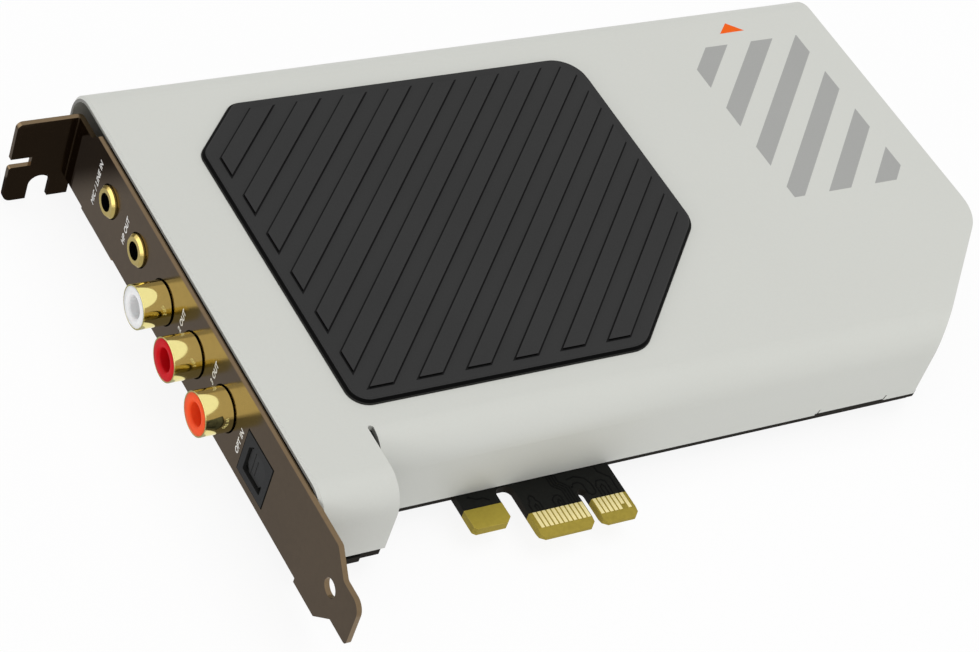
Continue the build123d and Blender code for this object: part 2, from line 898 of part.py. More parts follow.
def board_screw(x, y, seat, end):
    """Screw with its hexagonal head below the given level."""
    return rod_z(screw_r, seat, end, x, y) + along_z(hexagon(x, y, head_across), seat - head_h, seat)


def cover_post(x, y):
    """Hexagonal post between the board and the cover."""
    depth = screw_grip + screw_r
    body = along_z(hexagon(x, y, post_across), board_top, cover_in)
    return body - rod_z(screw_r + fit_gap, board_top - 1, board_top + depth, x, y)


def lug_nut():
    x, y = lug_site
    nut = along_z(hexagon(x, y, nut_across), board_top, board_top + nut_h)
    return nut - rod_z(screw_r + fit_gap, board_top - 1, board_top + nut_h + 1, x, y)


parts = {
    "bracket": [make_bracket()],
    "cover": [make_cover()],
    "cover_plate": [make_plate()],
    "circuit_board": [make_board()],
    "edge_contacts_front": edge_contacts(board_top, board_top + pad_t),
    "edge_contacts_back": edge_contacts(board_under - pad_t, board_under),
    "lock_tab_plating": lock_plating(),
    "phono_housing": [phono_housing()],
    "optical_housing": [optical_housing()],
    "optical_shutter": [optical_shutter()],
    "optical_receiver": [optical_receiver()],
    "optical_leads": receiver_leads(),
    "sound_processor": [quad_chip(*processor_at, processor_w)],
    "output_converter": [quad_chip(*converter_out_at, converter_out_w)],
    "input_converter": [quad_chip(*converter_in_at, converter_in_w)],
    "memory_chip": [dual_chip(*memory_at, memory_len, memory_w)],
    "headphone_amplifiers": [dual_chip(amplifier_x, y, op_amp_len, op_amp_w) for y in amplifier_ys],
    "op_amps": [dual_chip(x, y, op_amp_len, op_amp_w) for x in op_amp_xs for y in op_amp_ys],
    "crystal_can": [on_board(*crystal_at, crystal_len, crystal_w, crystal_h)],
    "regulators": [regulator(x) for x in supply_xs],
    "inductors": [on_board(x, inductor_y, inductor_w, inductor_w, inductor_h) for x in supply_xs],
    "electrolytic_cans": [electrolytic_can(x, y) for x, y in can_sites],
    "electrolytic_bases": [electrolytic_base(x, y) for x, y in can_sites],
    "film_capacitors": [on_board(x, y, film_len, film_w, film_h) for x, y in film_sites],
    "output_relays": [on_board(x, relay_y, relay_len, relay_w, relay_h) for x in relay_xs],
    "ceramic_capacitors": ceramic_capacitors(),
    "header_body": [header_body()],
    "header_pins": header_pins(),
    "cover_posts": [cover_post(x, y) for x, y in post_sites],
    "cover_screws": [board_screw(x, y, board_under, board_top + screw_grip) for x, y in post_sites],
    "bracket_screw": [board_screw(*lug_site, lug_under, board_top + nut_h)],
    "bracket_nut": [lug_nut()],
}
for name, y in zip(("line_in", "headphone"), jack_ys):
    parts[name + "_ferrule"] = [jack_ferrule(y)]
    parts[name + "_housing"] = [jack_housing(y)]
    parts[name + "_contacts"] = jack_contacts(y)
for name, y in zip(("phono_white", "phono_red", "phono_orange"), phono_ys):
    parts[name + "_shell"] = [phono_shell(y)]
    parts[name + "_insulator"] = [phono_insulator(y)]
    parts[name + "_contact"] = [phono_contact(y)]

os.makedirs("parts", exist_ok=True)
for name, shapes in parts.items():
    solids = [solid for shape in shapes for solid in shape.solids()]
    export_step(Compound(children=solids), f"parts/{name}.step")
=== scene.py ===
import math

import bmesh
import bpy
from mathutils import Matrix, Vector


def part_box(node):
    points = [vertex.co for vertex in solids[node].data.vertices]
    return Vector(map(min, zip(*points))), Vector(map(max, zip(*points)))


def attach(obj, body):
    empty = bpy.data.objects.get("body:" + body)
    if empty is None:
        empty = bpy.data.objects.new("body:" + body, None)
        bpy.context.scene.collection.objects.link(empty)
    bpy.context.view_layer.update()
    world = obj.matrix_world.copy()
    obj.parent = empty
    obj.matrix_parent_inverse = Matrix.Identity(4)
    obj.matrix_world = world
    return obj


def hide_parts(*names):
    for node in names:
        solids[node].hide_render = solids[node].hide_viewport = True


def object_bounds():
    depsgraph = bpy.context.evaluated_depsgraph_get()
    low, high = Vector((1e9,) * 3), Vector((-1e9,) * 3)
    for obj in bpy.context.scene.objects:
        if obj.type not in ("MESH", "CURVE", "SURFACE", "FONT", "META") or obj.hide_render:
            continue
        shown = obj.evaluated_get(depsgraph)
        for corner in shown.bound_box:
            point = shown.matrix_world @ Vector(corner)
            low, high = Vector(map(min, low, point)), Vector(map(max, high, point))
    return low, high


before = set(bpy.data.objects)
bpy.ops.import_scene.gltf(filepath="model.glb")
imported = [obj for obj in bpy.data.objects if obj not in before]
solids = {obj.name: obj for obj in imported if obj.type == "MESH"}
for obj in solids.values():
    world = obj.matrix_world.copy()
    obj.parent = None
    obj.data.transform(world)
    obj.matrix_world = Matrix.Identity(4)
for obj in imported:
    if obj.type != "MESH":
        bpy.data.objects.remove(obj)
bare_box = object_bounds()


# Circuit board
# A 1.57 mm glass fibre board under black solder mask, routed round the card edge, the key notch and the
# lock tab. The tongues' ends are plated a plain olive gold, and the glass weave shows faintly.

mm = 0.001


def add(tree, kind, inputs=(), **settings):
    """A shader node with its settings, each input set to a value or joined to another node's output."""
    node = tree.nodes.new("ShaderNode" + kind)
    for key, value in settings.items():
        setattr(node, key, value)
    for key, value in dict(inputs).items():
        if isinstance(value, bpy.types.NodeSocket):
            tree.links.new(value, node.inputs[key])
        else:
            node.inputs[key].default_value = value
    return node


def maths(tree, operation, *values):
    """The result of one operation on numbers and other nodes' outputs."""
    return add(tree, "Math", dict(enumerate(values)), operation=operation).outputs[0]


def spread_over(tree, noise, limits, middle, spread):
    """The noise between its limits, laid over a middle value plus and minus a spread."""
    lowest = maths(tree, "SUBTRACT", middle, spread)
    highest = maths(tree, "ADD", middle, spread)
    return add(tree, "MapRange", {0: noise, 1: limits[0], 2: limits[1], 3: lowest, 4: highest}).outputs[0]


def make_surface_grain():
    """Fine grain and broad clouds in a surface: a tone to scale its colour, its roughness and its height."""
    group = bpy.data.node_groups.new("surface_grain", "ShaderNodeTree")
    for name in ("Grain", "Cloud", "Tone spread", "Roughness", "Roughness spread"):
        group.interface.new_socket(name, in_out="INPUT", socket_type="NodeSocketFloat")
    for name in ("Tone", "Roughness", "Height"):
        group.interface.new_socket(name, in_out="OUTPUT", socket_type="NodeSocketFloat")
    given = group.nodes.new("NodeGroupInput").outputs
    result = group.nodes.new("NodeGroupOutput").inputs
    place = add(group, "TexCoord").outputs["Object"]
    grain = add(group, "TexNoise", {"Vector": place, "Scale": given["Grain"], "Detail": 4.0}).outputs[0]
    cloud = add(group, "TexNoise", {"Vector": place, "Scale": given["Cloud"], "Detail": 2.0}).outputs[0]
    cloud_limits, sum_limits = (0.3, 0.7), (0.7, 1.3)
    both = maths(group, "ADD", grain, cloud)
    tone = spread_over(group, both, sum_limits, 1.0, given["Tone spread"])
    rough = spread_over(group, cloud, cloud_limits, given["Roughness"], given["Roughness spread"])
    for name, value in (("Tone", tone), ("Roughness", rough), ("Height", grain)):
        group.links.new(value, result[name])
    return group


surface_grain = make_surface_grain()


def finish(name, colour, roughness, metallic=0.0, grain=1500.0, cloud=60.0, tone=0.05, uneven=0.05,
           bump=0.1, depth=0.02, gloss=0.5):
    """A finish with grain in its colour, roughness and height. Its node called tint takes the colour."""
    look = bpy.data.materials.new(name)
    look.use_nodes = True
    tree = look.node_tree
    shader = tree.nodes["Principled BSDF"]
    shader.inputs["Metallic"].default_value = metallic
    shader.inputs["Specular IOR Level"].default_value = gloss
    skin = tree.nodes.new("ShaderNodeGroup")
    skin.node_tree = surface_grain
    for key, value in (("Grain", grain), ("Cloud", cloud), ("Tone spread", tone),
                       ("Roughness", roughness), ("Roughness spread", uneven)):
        skin.inputs[key].default_value = value
    tint = add(tree, "VectorMath", {0: colour, "Scale": skin.outputs["Tone"]}, operation="SCALE", name="tint")
    relief = add(tree, "Bump", {"Strength": bump, "Distance": depth * mm, "Height": skin.outputs["Height"]})
    tree.links.new(tint.outputs[0], shader.inputs["Base Color"])
    tree.links.new(skin.outputs["Roughness"], shader.inputs["Roughness"])
    tree.links.new(relief.outputs[0], shader.inputs["Normal"])
    return look


def within(tree, value, low, high):
    """1 where the value lies between two limits."""
    return maths(tree, "COMPARE", value, (low + high) / 2, (high - low) / 2)


def both_of(tree, first, second):
    """One mask times another."""
    return maths(tree, "MULTIPLY", first, second)


def object_axes(tree):
    """The place on the card, by axis."""
    return add(tree, "SeparateXYZ", {0: add(tree, "TexCoord").outputs["Object"]}).outputs


def facing_axes(tree):
    """The way that the surface faces, by axis."""
    return add(tree, "SeparateXYZ", {0: add(tree, "NewGeometry").outputs["Normal"]}).outputs


def blend(tree, share, first, second):
    """The first colour where the share is 0, the second where it is 1. Either may be a node's output."""
    inputs = {"Factor": share}
    for key, colour in ((6, first), (7, second)):
        inputs[key] = colour if isinstance(colour, bpy.types.NodeSocket) else (*colour, 1)
    return add(tree, "Mix", inputs, data_type="RGBA").outputs[2]


def recolour(look, colour, metallic=None):
    """Joins a finish's colour, and where one is given its metallic share, to other nodes' outputs."""
    tree = look.node_tree
    tree.links.new(colour, tree.nodes["tint"].inputs[0])
    if metallic is not None:
        tree.links.new(metallic, tree.nodes["Principled BSDF"].inputs["Metallic"])


def dress(look, *names):
    """Gives a finish to the solids of these names."""
    for name in names:
        for slot in solids[name].material_slots:
            slot.material = look


mask_black = (0.0105, 0.0108, 0.0096)
glass_brown = (0.014, 0.012, 0.009)
olive_gold = (0.36, 0.28, 0.050)
below_tips = -1.0
tongues_left, tongues_right, tongues_top = -12.7, 8.7, 5.6
lock_tab_left, lock_tab_right, lock_tab_top = -24.4, -16.2, 9.3
edge_tilt = 0.4
weave, weave_stray = 1250.0, 0.4
weave_bump, weave_depth = 0.05, 0.01

board_look = finish("black_solder_mask", mask_black, 0.42, tone=0.12, uneven=0.06, bump=0.12, gloss=0.03)
tree = board_look.node_tree
axes = object_axes(tree)
patches = [both_of(tree, within(tree, axes["X"], left * mm, right * mm),
                   within(tree, axes["Y"], below_tips * mm, top * mm))
           for left, right, top in ((tongues_left, tongues_right, tongues_top),
                                    (lock_tab_left, lock_tab_right, lock_tab_top))]
plated = maths(tree, "MAXIMUM", *patches)
cut_edge = within(tree, facing_axes(tree)["Z"], -edge_tilt, edge_tilt)
level = maths(tree, "SUBTRACT", 1.0, cut_edge)
masked = blend(tree, cut_edge, mask_black, glass_brown)
recolour(board_look, blend(tree, plated, masked, olive_gold), metallic=both_of(tree, plated, level))
place = add(tree, "TexCoord").outputs["Object"]
threads = [add(tree, "TexWave", {"Vector": place, "Scale": weave, "Distortion": weave_stray},
               bands_direction=way).outputs["Fac"] for way in ("X", "Y")]
woven = add(tree, "Bump", {"Strength": weave_bump, "Distance": weave_depth * mm,
                           "Height": both_of(tree, *threads), "Normal": tree.nodes["Bump"].outputs[0]})
tree.links.new(woven.outputs[0], tree.nodes["Principled BSDF"].inputs["Normal"])
dress(board_look, "circuit_board")


# Edge contacts and lock tab
# Hard gold pads on both sides of the tongues, one to each slot contact, and a plated patch on the lock
# tab. The plating is thin and follows the copper under it.

pad_gold = (0.95, 0.83, 0.42)
lock_gold = (0.47, 0.37, 0.062)
pad_look = finish("pad_gold", pad_gold, 0.30, metallic=1.0, uneven=0.08, bump=0.06)
dress(pad_look, "edge_contacts_front", "edge_contacts_back")
lock_look = finish("tab_gold", lock_gold, 0.36, metallic=1.0, uneven=0.06, bump=0.06)
dress(lock_look, "lock_tab_plating")


# Board edge strips
# The outermost strips of the board, of the same glass fibre under black mask: one along the lobe beside
# the bracket, stepped like it, and one along the slanted far corner. Each shows as a black line.

def verts_of(made):
    """The vertices among what an operator has made."""
    return [v for v in made["geom"] if isinstance(v, bmesh.types.BMVert)]


def raise_flat(bm, outline, base, height):
    """A thin closed slab on the level base, from its outline in millimetres."""
    ring = [bm.verts.new((x * mm, y * mm, base * mm)) for x, y in outline]
    lifted = bmesh.ops.extrude_face_region(bm, geom=[bm.faces.new(ring)])
    bmesh.ops.translate(bm, verts=verts_of(lifted), vec=(0, 0, height * mm))


def round_edges(bm, edges, radius):
    """Rounds edges by a radius in millimetres."""
    bmesh.ops.bevel(bm, geom=edges, offset=radius * mm, offset_type="OFFSET", affect="EDGES", segments=2,
                    profile=0.5, material=-1)


def make_object(name, bm, look):
    """An object at the origin from a finished mesh."""
    mesh = bpy.data.meshes.new(name)
    bm.to_mesh(mesh)
    bm.free()
    mesh.materials.append(look)
    made = bpy.data.objects.new(name, mesh)
    bpy.context.scene.collection.objects.link(made)
    return made


def fit_piece(name, bm, look, body="card", round_below=None):
    """Closes a mesh into a piece, gives it its finish and fixes it to its body."""
    bmesh.ops.remove_doubles(bm, verts=bm.verts, dist=1e-7)
    bmesh.ops.recalc_face_normals(bm, faces=bm.faces)
    piece = make_object(name, bm, look)
    if round_below:
        piece.data.polygons.foreach_set("use_smooth", [True] * len(piece.data.polygons))
        piece.data.set_sharp_from_angle(angle=math.radians(round_below))
    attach(piece, body)
    return piece


board_under, board_top = (corner.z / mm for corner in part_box("circuit_board"))
strip_in, strip_round = 0.01, 0.08
lobe_left, step_left, lobe_right = -59.2, -47.1, -42.9
lobe_low, lobe_high = 4.95, 6.6
step_low, step_high = 5.55, 7.6
lobe_cut = 0.5
lobe_outline = [
    (lobe_left, lobe_low), (step_left + lobe_low - step_low, lobe_low), (step_left, step_low),
    (lobe_right - lobe_cut, step_low), (lobe_right, step_low + lobe_cut), (lobe_right, step_high),
    (step_left, step_high), (step_left + lobe_high - step_high, lobe_high), (lobe_left, lobe_high),
]
corner_outline = [(81.0, 13.42), (82.9, 13.42), (83.3, 13.6), (95.0, 25.3), (99.5, 31.1), (98.0, 30.6)]
for name, outline in (("lobe_strip", lobe_outline), ("corner_strip", corner_outline)):
    bm = bmesh.new()
    raise_flat(bm, outline, board_under + strip_in, board_top - board_under - 2 * strip_in)
    flat_edges = [e for e in bm.edges if abs(e.verts[0].co.z - e.verts[1].co.z) < 1e-6]
    round_edges(bm, flat_edges, strip_round)
    fit_piece(name, bm, board_look)


# Copper tracks
# Etched copper under the solder mask, which stands up over each track as a low black ridge. Tracks leave
# the contacts with slanted bends, and those underneath end at plated through holes.

track_black = (0.0022, 0.0022, 0.0022)
hole_gold = (0.42, 0.30, 0.10)
track_w, back_track_w, track_h = 0.26, 0.40, 0.035
mitre_limit = 0.5
plated_bore, plated_rim = 0.22, 0.50
masked_bore, masked_rim = 0.10, 0.24
eyelet_h = 0.05


def band_outline(points, width):
    """The outline of a flat band that follows a line with mitred bends."""
    points = [Vector(p) for p in points]
    left, right = [], []
    for i, p in enumerate(points):
        ahead = (points[min(i + 1, len(points) - 1)] - points[min(i, len(points) - 2)]).normalized()
        behind = (points[max(i, 1)] - points[max(i - 1, 0)]).normalized()
        side = Vector((-(ahead.y + behind.y), ahead.x + behind.x)).normalized()
        reach = width / 2 / max(mitre_limit, side.dot(Vector((-behind.y, behind.x))))
        left.append(p + side * reach)
        right.append(p - side * reach)
    return left + right[::-1]


def turn_profile(bm, profile, centre, axis, out, steps):
    """A turned shape from its profile of (radius, along the axis), in millimetres."""
    axis, out = Vector(axis), Vector(out)
    ring = [bm.verts.new((Vector(centre) + out * r + axis * a) * mm) for r, a in profile]
    edges = [bm.edges.new(pair) for pair in zip(ring, ring[1:])]
    edges.append(bm.edges.new((ring[-1], ring[0])))
    bmesh.ops.spin(bm, geom=ring + edges, cent=Vector(centre) * mm, axis=axis, angle=math.tau,
                   steps=steps, use_merge=True, use_duplicate=False)


def add_eyelet(bm, bore, rim, place, axis):
    """A flat ring round a hole."""
    section = [(bore, 0), (rim, 0), (rim, eyelet_h), (bore, eyelet_h)]
    turn_profile(bm, section, place, axis, (1, 0, 0), steps=12)


pad_end = 5.8
front_runs = [
    [(-11.5, pad_end), (-11.5, 7.6), (-10.9, 8.2), (-10.9, 8.9), (-10.3, 9.5), (-9.7, 8.9), (-9.7, 8.2),
     (-9.2, 7.6), (-9.2, pad_end)],
    [(-10.5, pad_end), (-10.5, 7.0), (-10.2, 7.4), (-9.9, 7.0), (-9.9, pad_end)],
    [(-6.5, pad_end), (-6.5, 7.4), (-5.7, 8.2), (-4.9, 8.2), (-4.5, 7.8), (-4.5, pad_end)],
    [(-5.6, pad_end), (-5.6, 6.9), (-5.3, 7.3), (-5.0, 6.9), (-5.0, pad_end)],
    [(-3.5, pad_end), (-3.5, 9.0), (-5.0, 10.5), (-5.0, 13.2)],
    [(-2.9, pad_end), (-2.9, 9.2), (-4.4, 10.7), (-4.4, 13.2)],
    [(-2.3, pad_end), (-2.3, 9.4), (-3.8, 10.9), (-3.8, 13.2)],
    [(-1.7, pad_end), (-1.7, 9.6), (-3.2, 11.1), (-3.2, 13.2)],
    [(-1.2, 9.2), (-0.6, 9.9), (0.6, 9.9), (1.2, 9.2), (1.2, 7.2), (1.8, 6.6), (2.4, 6.6), (2.9, 7.1),
     (2.9, 9.0), (2.2, 10.6), (0.4, 11.4), (-1.4, 11.0)],
    [(3.6, pad_end), (3.6, 8.4), (4.2, 9.4), (5.4, 9.4), (6.0, 8.8), (6.0, pad_end)],
    [(4.3, pad_end), (4.3, 7.8), (4.8, 8.4), (5.2, 7.8), (5.2, pad_end)],
    [(7.4, pad_end), (7.4, 9.6), (5.6, 11.4), (5.6, 13.2)],
    [(-22.0, 12.0), (-20.6, 11.2), (-19.2, 11.2), (-18.2, 10.4)],
]

long_first, long_count = -11.5, 11
short_first, short_count = 1.5, 7
pad_xs = [long_first + i for i in range(long_count)] + [short_first + i for i in range(short_count)]
fan_step, fan_turn, fan_stagger = 1.4, 11.0, 0.35
hole_y, hole_stagger, hole_rows, hole_hook = 30.0, 2.1, 6, 3.0
back_runs = []
for i, x in enumerate(pad_xs):
    out = x + (i - (len(pad_xs) - 1) / 2) * fan_step
    turn = fan_turn + fan_stagger * abs(i - len(pad_xs) // 2)
    end = hole_y + hole_stagger * (i % hole_rows)
    back_runs.append([(x, pad_end), (x, turn), (out, turn + abs(out - x)), (out, end),
                      (out - hole_hook, end + hole_hook)])

# How many tracks lie side by side, the first one's points, and each point's step from track to track
bundles = [
    (9, [(-45.0, 74.0), (-38.0, 74.0), (-30.0, 66.0), (-12.0, 66.0), (-8.0, 62.0)],
     [(0, 1.5), (1, 1.5), (1, 1.5), (-1, 1.5), (-1, 1.5)]),
    (7, [(-50.0, 36.0), (-44.0, 36.0), (-40.0, 40.0), (-27.0, 40.0)],
     [(0, 1.9), (0, 1.9), (0, 1.9), (0.9, 1.9)]),
    (8, [(95.0, 70.0), (86.0, 70.0), (74.0, 58.0), (50.0, 58.0), (44.0, 52.0)],
     [(0, 1.8), (-1, 1.8), (-1, 1.8), (0, 1.8), (-1, 2.8)]),
    (6, [(40.0, 22.0), (40.0, 30.0), (48.0, 38.0), (48.0, 46.0)],
     [(2.4, 0), (2.4, 1), (2.4, 1), (2.4, 1)]),
]
for count, points, steps in bundles:
    for i in range(count):
        back_runs.append([(x + i * dx, y + i * dy) for (x, y), (dx, dy) in zip(points, steps)])

track_look = finish("masked_copper", track_black, 0.34, tone=0.1, uneven=0.06, gloss=0.06)
hole_look = finish("through_hole_gold", hole_gold, 0.35, metallic=1.0)

bm = bmesh.new()
for run in front_runs:
    raise_flat(bm, band_outline(run, track_w), board_top, track_h)
fit_piece("front_tracks", bm, track_look)

bm = bmesh.new()
for run in back_runs:
    raise_flat(bm, band_outline(run, back_track_w), board_under, -track_h)
fit_piece("back_tracks", bm, track_look)

bm = bmesh.new()
for run in back_runs:
    starts_at_pad = run[0][1] == pad_end
    for x, y in run[-1:] if starts_at_pad else (run[0], run[-1]):
        add_eyelet(bm, plated_bore, plated_rim, (x, y, board_under), (0, 0, -1))
fit_piece("through_holes", bm, hole_look, round_below=40)

bm = bmesh.new()
for run in front_runs:
    if run[0][1] > pad_end:
        add_eyelet(bm, masked_bore, masked_rim, (*run[0], board_top), (0, 0, 1))
fit_piece("masked_holes", bm, track_look, round_below=40)


# Solder joints
# Each lead's tail comes through the board and is wave soldered underneath, so the solder climbs the lead
# in a small cone with hollow flanks.

solder_grey = (0.55, 0.55, 0.53)
lead_pitch = 2.54
jack_ys, jack_leads = (88.95, 75.97), [(-54.56, 2.25), (-52.06, -2.25), (-49.56, 2.25)]
phono_ys, phono_leads = (64.13, 50.82, 37.51), [(-52.86, 1.8), (-52.86, 3.825)]
optic_y, optic_lead_x = 24.0, -47.16
film_xs, film_y, film_lead = [-6.0 + 9.0 * i for i in range(5)], 76.0, 2.5
relay_xs, relay_y = (48.0, 60.0), 76.0
header_in_x, header_in_y = 1.3, 1.27
header_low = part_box("header_body")[0]
header_x, header_y = header_low.x / mm + header_in_x, header_low.y / mm + header_in_y

joint_sites = [(x, y + side) for y in jack_ys for x, side in jack_leads]
joint_sites += [(x, y + side) for y in phono_ys for x, side in phono_leads]
joint_sites += [(optic_lead_x, optic_y + lead_pitch * i) for i in (-1, 0, 1)]
joint_sites += [(x + side, film_y) for x in film_xs for side in (-film_lead, film_lead)]
joint_sites += [(x + side, relay_y + lead_pitch * (i - 1.5))
                for x in relay_xs for side in (-lead_pitch, lead_pitch) for i in range(4)]
joint_sites += [(header_x + lead_pitch * row, header_y + lead_pitch * i) for row in (0, 1) for i in range(5)]
fillet = [(0.0, 0.0), (0.95, 0.0), (0.93, 0.06), (0.62, 0.22), (0.44, 0.5), (0.36, 0.8), (0.2, 0.95),
          (0.0, 1.0)]
bm = bmesh.new()
for x, y in joint_sites:
    turn_profile(bm, fillet, (x, y, board_under), (0, 0, -1), (1, 0, 0), steps=18)
solder_look = finish("solder", solder_grey, 0.28, metallic=1.0, grain=2500.0, tone=0.12, bump=0.3)
fit_piece("solder_joints", bm, solder_look, round_below=60)


# Chips
# Moulded black epoxy packages, soldered down by tinned leads along their edges. The lead strips show as
# bright teeth with dark gaps between.

epoxy_black = (0.012, 0.012, 0.013)
chip_tin = (0.60, 0.60, 0.58)
chip_foot = 0.36
gap_from = 0.45


def stripes(tree, value, half_repeat, start):
    """1 in the middle of each repeat of a value, from the start to as far before the repeat's end."""
    return maths(tree, "GREATER_THAN", maths(tree, "PINGPONG", value, half_repeat * mm), start * mm)


def chip_finish(name, half_pitch):
    """Black epoxy with bright teeth round its foot."""
    look = finish(name, epoxy_black, 0.52, grain=4000.0, tone=0.15, bump=0.25)
    tree = look.node_tree
    axes = object_axes(tree)
    low = within(tree, axes["Z"], (board_top - 1) * mm, (board_top + chip_foot) * mm)
    gap_start = half_pitch * gap_from
    gaps = both_of(tree, *(stripes(tree, axes[way], half_pitch, gap_start) for way in ("X", "Y")))
    tinned = both_of(tree, low, maths(tree, "SUBTRACT", 1.0, gaps))
    recolour(look, blend(tree, tinned, epoxy_black, chip_tin), metallic=tinned)
    return look


dress(chip_finish("fine_lead_chip", 0.35), "sound_processor", "output_converter", "input_converter",
      "memory_chip")
dress(chip_finish("wide_lead_chip", 0.85), "op_amps", "headphone_amplifiers")


# Small parts on the board
# Regulators, ferrite inductors, a pressed crystal can, ceramic chips with tinned ends, box film
# capacitors, aluminium can capacitors on black bases, relays and a shrouded header, all soldered down.

# Each solid, its finish, colour, roughness and metallic share
board_parts = [
    ("regulators", "regulator_epoxy", (0.014, 0.014, 0.015), 0.50, 0.0),
    ("inductors", "grey_ferrite", (0.060, 0.060, 0.064), 0.62, 0.0),
    ("crystal_can", "crystal_can", (0.62, 0.62, 0.60), 0.26, 1.0),
    ("film_capacitors", "film_red", (0.36, 0.028, 0.022), 0.34, 0.0),
    ("electrolytic_bases", "can_base", (0.011, 0.011, 0.012), 0.45, 0.0),
    ("output_relays", "relay_grey", (0.30, 0.31, 0.31), 0.42, 0.0),
    ("header_body", "header_black", (0.012, 0.012, 0.012), 0.46, 0.0),
    ("header_pins", "header_gold", (0.80, 0.58, 0.20), 0.25, 1.0),
]
for solid, name, colour, roughness, metallic in board_parts:
    dress(finish(name, colour, roughness, metallic=metallic, grain=2500.0, tone=0.08, bump=0.15), solid)

can_aluminium = (0.66, 0.67, 0.67)
can_ink = (0.02, 0.02, 0.025)
can_ink_half, can_ink_from, can_ink_depth = 8.0, 5.6, 0.05
can_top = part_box("electrolytic_cans")[1].z
can_look = finish("can_aluminium", can_aluminium, 0.30, metallic=1.0, grain=3000.0)
tree = can_look.node_tree
axes = object_axes(tree)
marked = both_of(tree, within(tree, axes["Z"], can_top - can_ink_depth * mm, can_top + mm),
                 stripes(tree, axes["Y"], can_ink_half, can_ink_from))
recolour(can_look, blend(tree, marked, can_aluminium, can_ink))
dress(can_look, "electrolytic_cans")

ceramic_tan = (0.30, 0.20, 0.11)
ceramic_tin = (0.58, 0.58, 0.56)
ceramic_x, ceramic_half, ceramic_end = 22.0, 2.0, 0.6
ceramic_look = finish("ceramic_tan", ceramic_tan, 0.40, grain=3000.0, tone=0.1)
tree = ceramic_look.node_tree
along = maths(tree, "SUBTRACT", object_axes(tree)["X"], ceramic_x * mm)
ends = stripes(tree, along, ceramic_half, ceramic_end)
recolour(ceramic_look, blend(tree, ends, ceramic_tan, ceramic_tin), metallic=ends)
dress(ceramic_look, "ceramic_capacitors")


# Phono sockets
# Drawn brass shells, gold plated and polished, each with a rolled rim and a moulded insert in its own
# colour. One black block carries the three sockets on the board.

shell_gold = (0.86, 0.76, 0.31)
moulded_black = (0.010, 0.010, 0.010)
lead_tin = (0.58, 0.57, 0.54)
insert_colours = {"white": (0.88, 0.88, 0.88), "red": (0.60, 0.0035, 0.008), "orange": (0.96, 0.097, 0.020)}
insert_depth = {"Subsurface Weight": 0.4, "Subsurface Radius": (1.0, 0.9, 0.9), "Subsurface Scale": 1.0 * mm}
insert_r, insert_bore, insert_round = 3.70, 2.15, 0.55
lip_r, lip_h, lip_back, lip_cut = 3.90, 0.08, 0.01, 0.04
rim_r, rim_bead, rim_in = 4.05, 0.16, 0.1
arc_steps, bead_steps = 4, 12
insert_facets, rim_facets = 64, 72

shell_look = finish("polished_gold", shell_gold, 0.10, metallic=1.0, cloud=150.0, tone=0.03, uneven=0.03,
                    bump=0.02)
block_look = finish("moulded_black", moulded_black, 0.45, grain=2500.0, tone=0.1, bump=0.2)
lead_look = finish("tinned_lead", lead_tin, 0.30, metallic=1.0, tone=0.08)
dress(block_look, "phono_housing")

lip = [(insert_r, lip_back), (lip_r, lip_back), (lip_r, lip_cut - lip_h), (lip_r - lip_cut, -lip_h)]
quarter_turn = [math.pi / 2 * k / arc_steps for k in range(arc_steps + 1)]
mouth = [(insert_bore + insert_round - math.sin(t) * insert_round, (1 - math.cos(t)) * insert_round - lip_h)
         for t in quarter_turn]
full_turn = [math.tau * k / bead_steps for k in range(bead_steps)]
bead = [(rim_r + rim_bead * math.cos(t), rim_in + rim_bead * math.sin(t)) for t in full_turn]
for hue, colour in insert_colours.items():
    insert_look = finish(hue + "_insert", colour, 0.36, grain=2200.0, tone=0.03, bump=0.08, gloss=0.12)
    for key, value in insert_depth.items():
        insert_look.node_tree.nodes["Principled BSDF"].inputs[key].default_value = value
    dress(insert_look, "phono_" + hue + "_insulator")
    dress(shell_look, "phono_" + hue + "_shell")
    dress(lead_look, "phono_" + hue + "_contact")
    low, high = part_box("phono_" + hue + "_insulator")
    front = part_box("phono_" + hue + "_shell")[0].x / mm
    length = high.x / mm - front
    centre = (front, (low.y + high.y) / 2 / mm, (low.z + high.z) / 2 / mm)
    bm = bmesh.new()
    moulding = [(insert_r, length)] + lip + mouth + [(insert_bore, length)]
    turn_profile(bm, moulding, centre, (1, 0, 0), (0, 1, 0), steps=insert_facets)
    insert = fit_piece("phono_" + hue + "_insert", bm, insert_look, round_below=50)
    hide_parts("phono_" + hue + "_insulator")
    bm = bmesh.new()
    turn_profile(bm, bead, centre, (1, 0, 0), (0, 1, 0), steps=rim_facets)
    fit_piece("phono_" + hue + "_rim", bm, shell_look, round_below=60)


# Jacks
# Two 3.5 mm jacks: a turned brass ferrule, gold plated, in a moulded black body with sprung leaf
# contacts that end in leads through the board.

